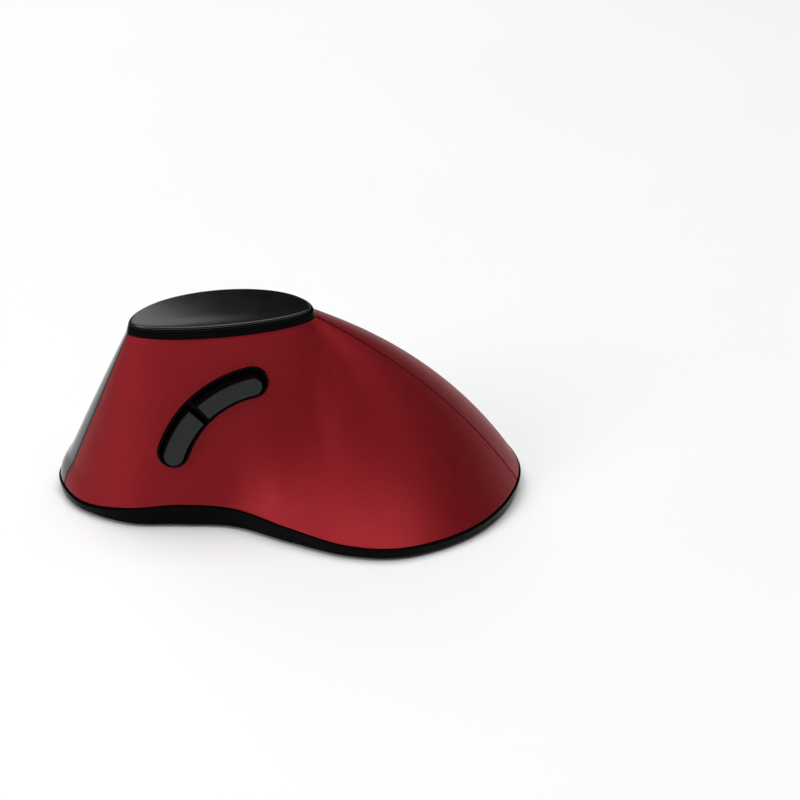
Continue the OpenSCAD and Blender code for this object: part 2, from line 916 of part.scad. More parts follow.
module arc_bar(half, from, to, z, round_from, round_to) {
  translate([arc_o[0], arc_o[1], z[0]])
    linear_extrude(z[1] - z[0])
      polygon(arc_outline(half, from, to, round_from, round_to));
}
module side_body(half, z, first) {
  if (first)
    arc_bar(half, arc_mid + mid_half - arc_turn(half - button_half), arc_to, z, false, true);
  else
    arc_bar(half, arc_from, arc_mid - mid_half + arc_turn(half - button_half), z, true, false);
}
// Flange behind the bezel and the board behind it, and the posts or holes that join them
module side_plate(z) {
  arc_bar(bezel_flange_half, arc_from + flange_short, arc_to - flange_short, z, false, false);
}
module side_pins(r, z) {
  for (s = [-1, 1])
    arc_at(arc_mid, arc_r + s * side_post_at)
      rod([0, 0], r, z);
}
module side_bezel() {
  open_half = button_half + move_gap;
  color("#0b0b0c")
    on_side()
      difference() {
        union() {
          arc_bar(bezel_half, arc_from, arc_to, [bezel_flange_z[0], bezel_top], true, true);
          side_plate(bezel_flange_z);
          side_pins(side_post_r, [side_board_z[1] + set_fit, bezel_flange_z[0] + root]);
        }
        for (first = [true, false])
          side_body(open_half, [bezel_flange_z[0] - over, bezel_top + over], first);
        side_pins(pin_r + set_fit, [-far, bezel_flange_z[0]]);
      }
}
module side_button(first) {
  on_side() {
    side_body(button_half, [side_flange_z[0], side_proud], first);
    side_body(button_half + flange_out, side_flange_z, first);
  }
}
module forward_button() {
  color("#3a3c3e")
    side_button(true);
}
module back_button() {
  color("#3a3c3e")
    side_button(false);
}
forward_a = 149;
back_a = 117;
module at_side_switch(a) {
  on_side()
    arc_at(a, arc_r)
      translate([0, 0, side_board_z[1]])
        children();
}
module forward_switch() {
  color("#3b3b3e")
    at_side_switch(forward_a)
      tact_case();
}
module back_switch() {
  color("#3b3b3e")
    at_side_switch(back_a)
      tact_case();
}
module forward_stem() {
  color("#8c2f2a")
    at_side_switch(forward_a)
      tact_stem();
}
module back_stem() {
  color("#8c2f2a")
    at_side_switch(back_a)
      tact_stem();
}
module side_board() {
  color("#1f5c3a")
    on_side()
      difference() {
        side_plate(side_board_z);
        side_pins(pin_r + seam, [-far, 0]);
      }
}

// Main board, sensor and power switch
board_x = [-9, 16];
board_y = [14.5, 44];
board_top = board_z + board_t;
post_clear = 0.6;
sensor_hole = 6;
chip_x = 12;
chip_y = 10;
chip_h = 2.6;
lens_x = 12;
lens_y = 9;
lens_gap = 0.6;
lens_neck = 5.4;
lens_root = 0.4;
lens_top_gap = 0.1;
lens_low = 0.3;
module main_board() {
  color("#1f5c3a")
    difference() {
      block(board_x, board_y, [board_z, board_top]);
      rod(post_spots[1], post_r + post_clear, [0, far]);
      block(around(sensor_at[0], sensor_hole / 2), around(sensor_at[1], sensor_hole / 2), [0, far]);
      for (p = stand_spots)
        rod(p, pin_r + seam, [0, far]);
    }
}
module sensor_chip() {
  color("#151517")
    block(
      around(sensor_at[0], chip_x / 2),
      around(sensor_at[1], chip_y / 2),
      [board_top, board_top + chip_h]
    );
}
module sensor_lens() {
  color("#9fb4bb")
    union() {
      block(
        around(sensor_at[0], lens_x / 2),
        around(sensor_at[1], lens_y / 2),
        [floor_z + set_fit, board_z - lens_gap]
      );
      block(
        around(sensor_at[0], lens_neck / 2),
        around(sensor_at[1], lens_neck / 2),
        [board_z - lens_gap - lens_root, board_top - lens_top_gap]
      );
      rod(sensor_at, sensor_r - move_gap, [foot_gap + lens_low, floor_z + root]);
    }
}
slider_flange_t = 0.6;
slider_flange_x = 1.2;
slider_flange_y = 0.8;
slider_low = 0.3;
flange_z = [floor_z + move_gap, floor_z + move_gap + slider_flange_t];
peg_r = 0.8;
peg_top = 5;
power_case_x = 3.8;
power_case_y = 8.8;
slider_y = slider_at[1] - slide_travel / 2;
module power_slider() {
  color("#4a4d50")
    union() {
      block(
        around(slider_at[0], knob_x / 2),
        around(slider_y, knob_y / 2),
        [foot_gap + slider_low, flange_z[1]]
      );
      block(
        around(slider_at[0], knob_x / 2 + slider_flange_x),
        around(slider_y, knob_y / 2 + slide_travel + slider_flange_y),
        flange_z
      );
      rod([slider_at[0], slider_y], peg_r, [flange_z[0], peg_top]);
    }
}
module power_switch() {
  color("#8f9397")
    difference() {
      block(
        around(slider_at[0], power_case_x / 2),
        around(slider_at[1], power_case_y / 2),
        [flange_z[1] + move_gap, board_z]
      );
      block(
        around(slider_at[0], peg_r + move_gap),
        around(slider_at[1], peg_r + slide_travel / 2 + move_gap),
        [0, peg_top + move_gap]
      );
    }
}

// Ribbon cables from the main board up to an edge of each of the other boards
ribbon_t = 0.3;
ribbon_w = 4;
ribbon_gap = 0.2;
key_ribbon_x = 2;
side_ribbon_r = [-5.5, -1.5];
side_ribbon_x = -8.4;
module ribbon(low, high) {
  thick = unit(cross(low[1] - low[0], high[0] - low[0])) * ribbon_t / 2;
  outline = [low[0], low[1], high[1], high[0]];
  points = concat([for (p = outline) p - thick], [for (p = outline) p + thick]);
  sides = [for (i = [0:3]) let(j = (i + 1) % 4) each [[i, i + 4, j + 4], [i, j + 4, j]]];
  polyhedron(points, concat([[0, 1, 2], [0, 2, 3], [4, 6, 5], [4, 7, 6]], sides), 10);
}
function on_main_board(p) = [p[0], p[1], board_top + ribbon_gap];
module key_ribbon() {
  edge_z = (key_board_z[0] + key_board_z[1]) / 2;
  high = [
    for (x = around(key_ribbon_x, ribbon_w / 2))
      from_deck([x, key_board_y[0] - ribbon_gap, edge_z])
  ];
  color("#c9c9c4")
    ribbon([for (p = high) on_main_board(p)], high);
}
module side_ribbon() {
  edge_z = (side_board_z[0] + side_board_z[1]) / 2;
  edge_a = arc_to - flange_short + arc_turn(ribbon_gap);
  high = [
    for (r = side_ribbon_r)
      let(p = arc_o + polar(arc_r + r, edge_a))
      from_side([p[0], p[1], edge_z])
  ];
  color("#c9c9c4")
    ribbon([for (p = high) on_main_board([side_ribbon_x, p[1]])], high);
}

// Cells, contacts, door, receiver, feet
cell_pitch = 11.2;
cell_x = (bay_x[0] + bay_x[1]) / 2;
cell_lift = 0.7;
cell_z = floor_z + cell_lift + cell_r;
cell_y = -40.5;
cell_tip_r = 1.9;
cell_tip = 1;
contact_t = 0.5;
contact_half = 4;
bridge_half = 8.5;
spring_tip_r = 2;
spring_root_r = 3.2;
module lay(at, r1, r2, y) {
  translate([at[0], y[0], at[1]])
    rotate([-90, 0, 0])
      cylinder(r1 = r1, r2 = r2, h = y[1] - y[0]);
}
module cell(side) {
  x = cell_x + side * cell_pitch / 2;
  can = side > 0 ? [cell_y, cell_y + cell_len - cell_tip] : [cell_y + cell_tip, cell_y + cell_len];
  tip = side > 0 ? [can[1] - root, can[1] + cell_tip] : [cell_y, can[0] + root];
  lay([x, cell_z], cell_r, cell_r, can);
  lay([x, cell_z], cell_tip_r, cell_tip_r, tip);
}
module left_cell() {
  color("#2f6b4f")
    cell(-1);
}
module right_cell() {
  color("#2f6b4f")
    cell(1);
}
module bridge_contact() {
  front = bay_y[1] - set_fit;
  near = cell_y + cell_len + set_fit;
  color("#c8b98a")
    union() {
      block(around(cell_x, bridge_half), [front - contact_t, front], around(cell_z, contact_half));
      for (s = [-1, 1])
        lay(
          [cell_x + s * cell_pitch / 2, cell_z],
          spring_tip_r,
          spring_root_r,
          [near, front - contact_t / 2]
        );
    }
}
module end_contacts() {
  back = bay_y[0] + set_fit;
  color("#c8b98a")
    for (s = [-1, 1]) {
      x = cell_x + s * cell_pitch / 2;
      block(around(x, contact_half), [back, back + contact_t], around(cell_z, contact_half));
      lay([x, cell_z], spring_root_r, spring_tip_r, [back + contact_t / 2, cell_y - set_fit]);
    }
}
grip_count = 4;
grip_first = 6.5;
grip_step = 2.2;
grip_long = 10;
grip_wide = 1;
grip_deep = 0.4;
module battery_door() {
  color("#17171a")
    difference() {
      block(
        [bay_x[0] + move_gap, bay_x[1] - move_gap],
        [bay_y[0] + move_gap, bay_y[1] - move_gap],
        [foot_gap, floor_z]
      );
      for (i = [0:grip_count - 1])
        block(
          around(cell_x, grip_long / 2),
          around(bay_y[0] + grip_first + i * grip_step, grip_wide / 2),
          [foot_gap - over, foot_gap + grip_deep]
        );
    }
}
head_long = 6.7;
head_low = 0.2;
plug_in = 1;
plug_in_z = 1.2;
module usb_receiver() {
  head_x = [pocket_x[0] + move_gap, pocket_x[1] - move_gap];
  head_y = [pocket_y[1] - move_gap - head_long, pocket_y[1] - move_gap];
  head_z = [foot_gap + head_low, pocket_top - move_gap];
  color("#3c3e42")
    union() {
      block(head_x, head_y, head_z);
      block(
        [head_x[0] + plug_in, head_x[1] - plug_in],
        [pocket_y[0] + move_gap, head_y[0] + root],
        [head_z[0] + plug_in_z, head_z[1] - plug_in_z]
      );
    }
}
module glide_feet() {
  color("#2b2c2e")
    for (p = foot_spots)
      rod(p, foot_r, [0, foot_gap + foot_sunk]);
}

// Fasteners
module case_screws() {
  color("#9a9da1")
    for (p = screw_spots)
      difference() {
        union() {
          rod(p, screw_head_r, [screw_seat_z - screw_head_h, screw_seat_z]);
          rod(p, screw_r, [screw_seat_z - root, screw_seat_z + screw_len]);
        }
        for (a = [0, 90])
          translate([p[0], p[1], 0])
            rotate([0, 0, a])
              block(
                around(0, cross_long / 2),
                around(0, cross_wide / 2),
                [0, screw_seat_z - screw_head_h + cross_deep]
              );
      }
}
module pin_screw() {
  rod([0, 0], pin_head_r, [0, pin_head_h]);
  rod([0, 0], pin_r, [-pin_len, root]);
}
module board_screws() {
  color("#9a9da1") {
    for (p = stand_spots)
      translate([p[0], p[1], board_z + board_t])
        pin_screw();
    on_deck()
      for (p = key_screw_spots)
        translate([p[0], p[1], key_board_z[1]])
          pin_screw();
    on_side()
      for (s = [-1, 1])
        arc_at(arc_mid, arc_r + s * side_post_at)
          translate([0, 0, side_board_z[0]])
            rotate([180, 0, 0])
              pin_screw();
  }
}

base_tray();
thumb_shell();
palm_shell();
front_fascia();
cap_ring();
cap_lens();
left_key();
right_key();
hinge_rod();
key_chassis();
wheel_spine();
wheel_tyre();
wheel_hub();
wheel_axle();
wheel_carrier();
wheel_encoder();
wheel_switch();
wheel_stem();
dpi_button();
dpi_switch();
dpi_stem();
left_switch();
left_plunger();
right_switch();
right_plunger();
key_board();
side_bezel();
forward_button();
back_button();
forward_switch();
forward_stem();
back_switch();
back_stem();
side_board();
main_board();
sensor_chip();
sensor_lens();
power_slider();
power_switch();
key_ribbon();
side_ribbon();
left_cell();
right_cell();
bridge_contact();
end_contacts();
battery_door();
usb_receiver();
glide_feet();
case_screws();
board_screws();
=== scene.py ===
import json
import math

import bmesh
import bpy
import numpy as np
from mathutils import Matrix, Vector


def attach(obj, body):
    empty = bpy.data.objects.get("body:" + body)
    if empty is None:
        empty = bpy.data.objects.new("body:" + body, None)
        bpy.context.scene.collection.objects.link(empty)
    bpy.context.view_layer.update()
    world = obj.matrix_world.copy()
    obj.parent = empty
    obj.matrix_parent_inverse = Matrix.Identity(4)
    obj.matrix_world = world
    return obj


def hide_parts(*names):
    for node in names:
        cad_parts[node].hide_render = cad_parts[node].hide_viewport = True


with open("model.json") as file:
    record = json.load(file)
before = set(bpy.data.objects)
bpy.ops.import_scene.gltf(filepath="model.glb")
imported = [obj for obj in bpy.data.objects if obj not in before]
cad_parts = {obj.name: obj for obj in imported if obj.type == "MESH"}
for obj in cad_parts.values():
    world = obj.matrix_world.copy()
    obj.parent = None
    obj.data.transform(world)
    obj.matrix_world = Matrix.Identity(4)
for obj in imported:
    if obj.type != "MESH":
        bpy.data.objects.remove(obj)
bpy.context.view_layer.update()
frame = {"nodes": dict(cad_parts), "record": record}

# Looks of a vertical ergonomic mouse. Sizes are in millimetres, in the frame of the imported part:
# +Y is the nose, -X the thumb side, +Z up. The body follows the same rules as the part's source.
MM = 0.001
BODY = "housing"
WORLD = Matrix.Identity(4)

# Driving sizes of the body
BODY_LEN = 120.3
LOBE_REACH = 36
WAIST_REACH = 20
PALM_REACH = 36.9
SEAT_Z = 49.7
WALL = 2
NOSE, TAIL = BODY_LEN / 2, -BODY_LEN / 2
TOE_TOP, TOE_OUT = 0.14, 0.6
SINK_V = 0.15

# Cap outline on its tilted seat
CAP_X, CAP_Y = -3, 17.6
CAP_LEN, CAP_NEAR, CAP_FAR, CAP_RISE = 47.5, 6.5, 13.5, 2.6
CAP_TURN, CAP_ROLL, CAP_PITCH = (math.radians(a) for a in (6, 5, 2.2))

# Stations round the footprint: x, y, angle on the cap, rim height, bulge, toe
STATIONS = np.array([
    [-14, NOSE - 8.5, 24, 3.4, -0.02, 0],
    [0.6 - WAIST_REACH, 41, 52, 5.2, -0.06, 0],
    [-WAIST_REACH, 28, 78, 6.5, -0.12, 0],
    [-WAIST_REACH - 1.2, 14.5, 104, 6, -0.22, 0],
    [7.4 - LOBE_REACH, 1, 128, 4.9, -0.38, 0],
    [0.5 - LOBE_REACH, -14, 146, 3.7, -0.45, 0],
    [-LOBE_REACH, -29, 158, 3.5, -0.30, 0],
    [9.2 - LOBE_REACH, TAIL + 15, 168, 3.4, 0.02, 0],
    [-12, TAIL + 4, 176, 4, 0.25, 0],
    [6, TAIL, 184, 4.5, 0.34, 0],
    [23.5, TAIL + 7, 194, 4.8, 0.34, 0],
    [PALM_REACH - 2.5, -35, 210, 5, 0.30, 0],
    [PALM_REACH, -10, 236, 5, 0.22, 0],
    [PALM_REACH - 3.4, 16, 268, 5, 0.16, 0],
    [PALM_REACH - 10.7, 40, 305, 5, 0.12, 0],
    [15.5, NOSE - 5.1, 335, 5, 0.06, 0.5],
    [3, NOSE, 354, 4.4, 0.02, 1],
    [-7, NOSE - 2.5, 368, 3.5, 0, 0.5],
])
LAPS = len(STATIONS)

# Seams of the shells, counted in stations round the body and in shares of its height
SEAM_FRONT, SEAM_REAR = -1.3, 8.5
KEY_REAR, KEY_FRONT = 12.4, 15.3
SKIRT_V, SPINE_LO, SPINE_HI = 0.19, 0.455, 0.665
SEAM, KEY_GAP, SWING_GAP, MOVE_GAP, SET_FIT = 0.15, 0.5, 0.3, 0.3, 0.02
EDGE_R = 0.35
EDGE_STEPS = 3

# Small offsets for slopes, reach of a cut past the face it opens and the round of a cutting tool's edge
D_U, D_V = 0.02, 0.005
OVER = 1
CRISP = 0.01


def station(k):
    values = STATIONS[k % LAPS].copy()
    values[..., 2] += 360 * (k // LAPS)
    return values


def row(u):
    """Station values at places round the body, on a smooth curve through the stations."""
    i = np.floor(u).astype(int)
    t = (u - i)[..., None]
    a, b, c, d = (station(i + k) for k in (-1, 0, 1, 2))
    square = (2 * a - 5 * b + 4 * c - d) * t**2
    cube = (3 * b - a - 3 * c + d) * t**3
    return 0.5 * (2 * b + (c - a) * t + square + cube)


def cap_pt(angle, grow, lift):
    """Points of the cap's outline at angles in degrees, grown outward and lifted from its seat."""
    a = np.radians(angle)
    side = np.where(np.sin(a) > 0, CAP_NEAR, CAP_FAR)
    ly = (CAP_LEN / 2 + grow) * np.cos(a)
    lx = -(side + grow) * np.sin(a)
    x = CAP_X + math.cos(CAP_TURN) * lx - math.sin(CAP_TURN) * ly
    y = CAP_Y + math.sin(CAP_TURN) * lx + math.cos(CAP_TURN) * ly
    z = SEAT_Z + math.tan(CAP_ROLL) * (x - CAP_X) - math.tan(CAP_PITCH) * (y - CAP_Y) + lift
    return np.stack([x, y, z], -1)


def unit(p):
    return p / np.linalg.norm(p, axis=-1, keepdims=True)


def body_pt(u, v):
    """Points of the body's surface: u counts stations round it, v runs from the rim to the cap."""
    r = row(u)
    top = cap_pt(r[..., 2], 0, 0)
    bulge = r[..., 4]
    h = (1 - bulge) * v + bulge * (1 - np.cos(np.pi / 2 * v))
    g = (1 - bulge) * v + bulge * np.sin(np.pi / 2 * v)
    out = unit(r[..., :2] - top[..., :2])
    toe = np.where(v < TOE_TOP, TOE_OUT * r[..., 5] * np.sin(np.pi * v / TOE_TOP), 0)
    flat = r[..., :2] + (top[..., :2] - r[..., :2]) * h[..., None] + out * toe[..., None]
    z = r[..., 3] + (top[..., 2] - r[..., 3]) * g
    return np.concatenate([flat, z[..., None]], -1)


def tangents(u, v):
    along_u = (body_pt(u + D_U, v) - body_pt(u - D_U, v)) / (2 * D_U)
    along_v = (body_pt(u, v + D_V) - body_pt(u, v - D_V)) / (2 * D_V)
    return along_u, along_v


def skin(u, v, depth):
    """The body's surface sunk by a depth, level and inward near the rim."""
    n = unit(np.cross(*tangents(u, v)))
    flat = n * [1, 1, 0] / (n[..., :2] ** 2).sum(-1, keepdims=True)
    k = np.minimum(1, v / SINK_V)[..., None]
    return body_pt(u, v) - depth * (n * k + flat * (1 - k))


def local_frame(u, v, along_body):
    """A frame on the surface with z outward and x along the body or level to the rear."""
    u, v = np.array(float(u)), np.array(float(v))
    along_u, along_v = tangents(u, v)
    z = unit(np.cross(along_u, along_v))
    x = unit(along_u - (along_u @ z) * z) if along_body else -unit(np.cross(z, [0, 0, 1]))
    axes = Matrix([*np.stack([x, np.cross(z, x), z])]).transposed().to_4x4()
    return Matrix.Translation(Vector(body_pt(u, v) * MM)) @ axes


# Places on the surface, in stations and in a share of its height: the wheel's deck and the side buttons
DECK_AT, SIDE_AT = (13.7, 0.56), (2.356, 0.569)
DECK = local_frame(*DECK_AT, True)
SIDE = local_frame(*SIDE_AT, False)


# Mesh helpers
def add_piece(name, mesh, materials, body=BODY):
    for material in materials:
        mesh.materials.append(material)
    piece = bpy.data.objects.new(name, mesh)
    bpy.context.scene.collection.objects.link(piece)
    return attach(piece, body)


def new_piece(name, verts, faces, materials, body=BODY):
    """A mesh object from points in millimetres."""
    mesh = bpy.data.meshes.new(name)
    mesh.from_pydata((np.asarray(verts) * MM).tolist(), [], faces)
    return add_piece(name, mesh, materials, body)


SHARP = math.radians(42)


def stand_for(piece, node):
    """Smooth shading that keeps flat faces flat, and hides the CAD node the piece stands for."""
    mesh = piece.data
    mesh.polygons.foreach_set("use_smooth", [True] * len(mesh.polygons))
    mesh.set_sharp_from_angle(angle=SHARP)
    even = piece.modifiers.new("even", "WEIGHTED_NORMAL")
    even.keep_sharp = True
    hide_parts(node)
    return piece


def carve(piece, tool, operation="DIFFERENCE"):
    """Cuts a tool's solid out of a piece, or joins it on, and removes the tool."""
    cut = piece.modifiers.new("carve", "BOOLEAN")
    cut.operation = operation
    cut.solver = "EXACT"
    cut.object = tool
    graph = bpy.context.evaluated_depsgraph_get()
    mesh = bpy.data.meshes.new_from_object(piece.evaluated_get(graph))
    piece.modifiers.clear()
    piece.data = mesh
    bpy.data.objects.remove(tool)


def joined(name, parts):
    """One object with the separate solids of several, which are removed."""
    bm = bmesh.new()
    for part in parts:
        bm.from_mesh(part.data)
    materials = list(parts[0].data.materials)
    for part in parts:
        bpy.data.objects.remove(part)
    mesh = bpy.data.meshes.new(name)
    bm.to_mesh(mesh)
    bm.free()
    return add_piece(name, mesh, materials)


def axis(knots, counts):
    """Grid places between knots of (place, shift along the surface), with the shift of each."""
    places, shifts = [], []
    for (p, s), (q, t), n in zip(knots, knots[1:], counts):
        for share in np.arange(n) / n:
            places.append(p + (q - p) * share)
            shifts.append(s + (t - s) * share)
    return np.array(places + [knots[-1][0]]), np.array(shifts + [knots[-1][1]])


def kept_cells(us, vs, cut):
    """Which grid cells a panel has, with a border of missing ones; the cells past the cut are missing."""
    kept = np.zeros((len(us[0]) + 1, len(vs[0]) + 1), bool)
    kept[1:-1, 1:-1] = True
    if cut:
        first_u = np.searchsorted(us[0], cut[0] - D_V) + 1
        first_v = np.searchsorted(vs[0], cut[1] - D_V) + 1
        kept[first_u:, first_v:] = False
    return kept


def panel_faces(kept, n, m):
    """Outer, inner and side faces of a panel with n by m points on each face."""
    outer, inner, sides = [], [], []
    for i, j in zip(*np.nonzero(kept)):
        a = (i - 1) * m + j - 1
        b, c, d = a + 1, a + m + 1, a + m
        outer.append((d, c, b, a))
        inner.append(tuple(k + n * m for k in (a, b, c, d)))
        beside = (((i - 1, j), a, b), ((i, j + 1), b, c), ((i + 1, j), c, d), ((i, j - 1), d, a))
        for near, p, q in beside:
            if not kept[near]:
                sides.append((p, q, q + n * m, p + n * m))
    return outer, inner, sides


def round_edges(piece, groups):
    """Rounds the edges between the first group of faces and the last one."""
    bm = bmesh.new()
    bm.from_mesh(piece.data)
    rank = [k for k, group in enumerate(groups) for _ in group]
    last = len(groups) - 1
    edges = [e for e in bm.edges if sorted(rank[f.index] for f in e.link_faces) == [0, last]]
    bmesh.ops.bevel(bm, geom=edges, offset=EDGE_R * MM, segments=EDGE_STEPS, profile=0.5, affect="EDGES")
    loose = [vert for vert in bm.verts if not vert.link_faces]
    bmesh.ops.delete(bm, geom=loose, context="VERTS")
    bmesh.ops.recalc_face_normals(bm, faces=bm.faces)
    bm.to_mesh(piece.data)
    bm.free()


def panel(name, us, vs, material, body=BODY, cut=None):
    """A closed curved plate of the body's surface with rounded outer edges."""
    u, v = np.meshgrid(us[0], vs[0], indexing="ij")
    along_u, along_v = tangents(u, v)
    u = u + us[1][:, None] / np.linalg.norm(along_u, axis=-1)
    v = v + vs[1][None, :] / np.linalg.norm(along_v, axis=-1)
    verts = np.concatenate([skin(u, v, depth).reshape(-1, 3) for depth in (0, WALL)])
    groups = panel_faces(kept_cells(us, vs, cut), *u.shape)
    piece = new_piece(name, verts, [face for group in groups for face in group], [material], body)
    round_edges(piece, groups)
    return piece


def loft(name, rings, material, body=BODY, ends=None):
    """A solid through rings of points: a hoop, or closed by a point at each end."""
    n, m = len(rings), len(rings[0])
    verts = [point for ring in rings for point in ring]
    faces = []
    for k in range(n - 1 if ends else n):
        for i in range(m):
            j, up = (i + 1) % m, (k + 1) % n
            faces.append((k * m + i, k * m + j, up * m + j, up * m + i))
    if ends:
        verts += ends
        for i in range(m):
            j = (i + 1) % m
            faces.append((n * m, j, i))
            faces.append((n * m + 1, (n - 1) * m + i, (n - 1) * m + j))
    piece = new_piece(name, verts, faces, [material], body)
    face_outward(piece.data)
    return piece


def face_outward(mesh, weld=0):
    """Welds near points, if asked to, and turns all faces outward."""
    bm = bmesh.new()
    bm.from_mesh(mesh)
    if weld:
        bmesh.ops.remove_doubles(bm, verts=bm.verts, dist=weld)
    bmesh.ops.recalc_face_normals(bm, faces=bm.faces)
    bm.to_mesh(mesh)
    bm.free()


WELD = 0.0001


def slab(name, outlines, z, edge, place, materials, body=BODY):
    """A plate with rounded edges from closed outlines in a local frame; inner outlines are holes."""
    curve = bpy.data.curves.new(name, "CURVE")
    curve.dimensions = "2D"
    curve.fill_mode = "BOTH"
    curve.extrude = ((z[1] - z[0]) / 2 - edge) * MM
    curve.bevel_depth = edge * MM
    curve.offset = -edge * MM
    curve.bevel_resolution = EDGE_STEPS
    for outline in outlines:
        spline = curve.splines.new("POLY")
        spline.points.add(len(outline) - 1)
        spline.use_cyclic_u = True
        for point, (x, y) in zip(spline.points, outline):
            point.co = (x * MM, y * MM, 0, 1)
    shape = bpy.data.objects.new(name + "_shape", curve)
    bpy.context.scene.collection.objects.link(shape)
    graph = bpy.context.evaluated_depsgraph_get()
    mesh = bpy.data.meshes.new_from_object(shape.evaluated_get(graph))
    bpy.data.objects.remove(shape)
    mesh.materials.clear()
    face_outward(mesh, WELD * MM)
    mesh.transform(place @ Matrix.Translation((0, 0, (z[0] + z[1]) / 2 * MM)))
    return add_piece(name, mesh, materials, body)


def polar(r, degrees):
    a = math.radians(degrees)
    return r * math.cos(a), r * math.sin(a)


CORNER_STEPS = 6
CIRCLE_STEPS = 64


def rounded_box(x, y, r):
    """Outline of a rectangle with round corners."""
    corners = [(x[1] - r, y[1] - r), (x[0] + r, y[1] - r), (x[0] + r, y[0] + r), (x[1] - r, y[0] + r)]
    points = []
    for quarter, (cx, cy) in enumerate(corners):
        for i in range(CORNER_STEPS + 1):
            dx, dy = polar(r, 90 * (quarter + i / CORNER_STEPS))
            points.append((cx + dx, cy + dy))
    return points


def circle(at, r):
    spokes = [polar(r, 360 * i / CIRCLE_STEPS) for i in range(CIRCLE_STEPS)]
    return [(at[0] + x, at[1] + y) for x, y in spokes]


def around(c, half):
    return c - half, c + half


def grown(span, by):
    return span[0] - by, span[1] + by


# Material helpers
def new_material(name):
    material = bpy.data.materials.new(name)
    material.use_nodes = True
    tree = material.node_tree
    coords = tree.nodes.new("ShaderNodeTexCoord").outputs["Object"]
    return material, tree, tree.nodes["Principled BSDF"], coords


def put(tree, kind, links, **values):
    """A node with its socket values, fed by links of socket name to output."""
    made = tree.nodes.new("ShaderNode" + kind)
    for socket, value in values.items():
        made.inputs[socket].default_value = value
    for socket, output in links.items():
        tree.links.new(output, made.inputs[socket])
    return made


def noise(tree, coords, scale, detail=3.0):
    return put(tree, "TexNoise", {"Vector": coords}, Scale=scale, Detail=detail).outputs["Fac"]


def stretched(tree, coords, scale):
    return put(tree, "Mapping", {"Vector": coords}, Scale=scale).outputs["Vector"]


# Span that holds most values of a noise pattern, and the wider span of the paint's flakes
NOISE_SPAN, FLAKE_SPAN = (0.3, 0.7), (0.1, 0.9)


def ramp(tree, fac, colours, span=NOISE_SPAN):
    """Colour between two ends over a span of a pattern."""
    made = put(tree, "ValToRGB", {"Fac": fac})
    for stop, place, colour in zip(made.color_ramp.elements, span, colours):
        stop.position = place
        stop.color = (*colour, 1)
    return made.outputs["Color"]


def span_of(tree, fac, low, high):
    """A number between two ends over the middle of a noise pattern."""
    ends = {"From Min": NOISE_SPAN[0], "From Max": NOISE_SPAN[1], "To Min": low, "To Max": high}
    return put(tree, "MapRange", {"Value": fac}, **ends).outputs["Result"]


def relief(tree, out, height, depth, strength=0.5):
    """Lets a pattern stand in relief by a depth in millimetres."""
    bump = put(tree, "Bump", {"Height": height}, Strength=strength, Distance=depth * MM)
    tree.links.new(bump.outputs["Normal"], out.inputs["Normal"])


# How much finer the patches of shine are than the patches of colour
SHINE_FINER = 6


def moulded(name, colours, rough, patch=40, grain=3000, depth=0.004, **shader):
    """Moulded plastic or rubber: colour and shine drift in patches, and a fine grain stands in relief."""
    material, tree, out, coords = new_material(name)
    tree.links.new(ramp(tree, noise(tree, coords, patch), colours), out.inputs["Base Color"])
    tree.links.new(span_of(tree, noise(tree, coords, patch * SHINE_FINER), *rough), out.inputs["Roughness"])
    relief(tree, out, noise(tree, coords, grain, detail=2.0), depth)
    for socket, value in shader.items():
        out.inputs[socket.replace("_", " ")].default_value = value
    return material


def metallic_paint(name, dark, light):
    """Satin paint with fine metallic flakes under a thin clear coat."""
    material, tree, out, coords = new_material(name)
    flakes = put(tree, "TexVoronoi", {"Vector": coords}, Scale=9000).outputs["Color"]
    tree.links.new(ramp(tree, flakes, (dark, light), FLAKE_SPAN), out.inputs["Base Color"])
    tree.links.new(span_of(tree, noise(tree, coords, 300), 0.46, 0.52), out.inputs["Roughness"])
    relief(tree, out, noise(tree, coords, 2500, detail=2.0), depth=0.006, strength=0.4)
    out.inputs["Metallic"].default_value = 0.75
    out.inputs["Specular IOR Level"].default_value = 0.3
    out.inputs["Coat Weight"].default_value = 0.04
    out.inputs["Coat Roughness"].default_value = 0.3
    return material


def brushed_metal(name, colours, along):
    """Bright metal with fine lines along one axis."""
    material, tree, out, coords = new_material(name)
    lines = noise(tree, stretched(tree, coords, along), scale=4.0)
    tree.links.new(ramp(tree, lines, colours), out.inputs["Base Color"])
    tree.links.new(span_of(tree, lines, 0.22, 0.38), out.inputs["Roughness"])
    relief(tree, out, lines, 0.01)
    out.inputs["Metallic"].default_value = 1
    return material


def circuit_board(name):
    """Green solder mask over a net of tracks."""
    material, tree, out, coords = new_material(name)
    tracks = put(tree, "TexBrick", {"Vector": coords}, Scale=220.0)
    tracks.inputs["Color1"].default_value = (0.01, 0.09, 0.04, 1)
    tracks.inputs["Color2"].default_value = (0.012, 0.11, 0.05, 1)
    tracks.inputs["Mortar"].default_value = (0.03, 0.2, 0.09, 1)
    tree.links.new(tracks.outputs["Color"], out.inputs["Base Color"])
    tree.links.new(span_of(tree, noise(tree, coords, 400), 0.3, 0.45), out.inputs["Roughness"])
    relief(tree, out, tracks.outputs["Fac"], 0.03)
    return material


def striped(name, colours, scale, rough, metallic):
    """Fine stripes, as on a flat cable or a wrapped cell."""
    material, tree, out, coords = new_material(name)
    bands = put(tree, "TexWave", {"Vector": coords}, Scale=scale, Distortion=0.2).outputs["Fac"]
    tree.links.new(ramp(tree, bands, colours), out.inputs["Base Color"])
    tree.links.new(span_of(tree, noise(tree, coords, 500), *rough), out.inputs["Roughness"])
    relief(tree, out, bands, 0.02)
    out.inputs["Metallic"].default_value = metallic
    return material


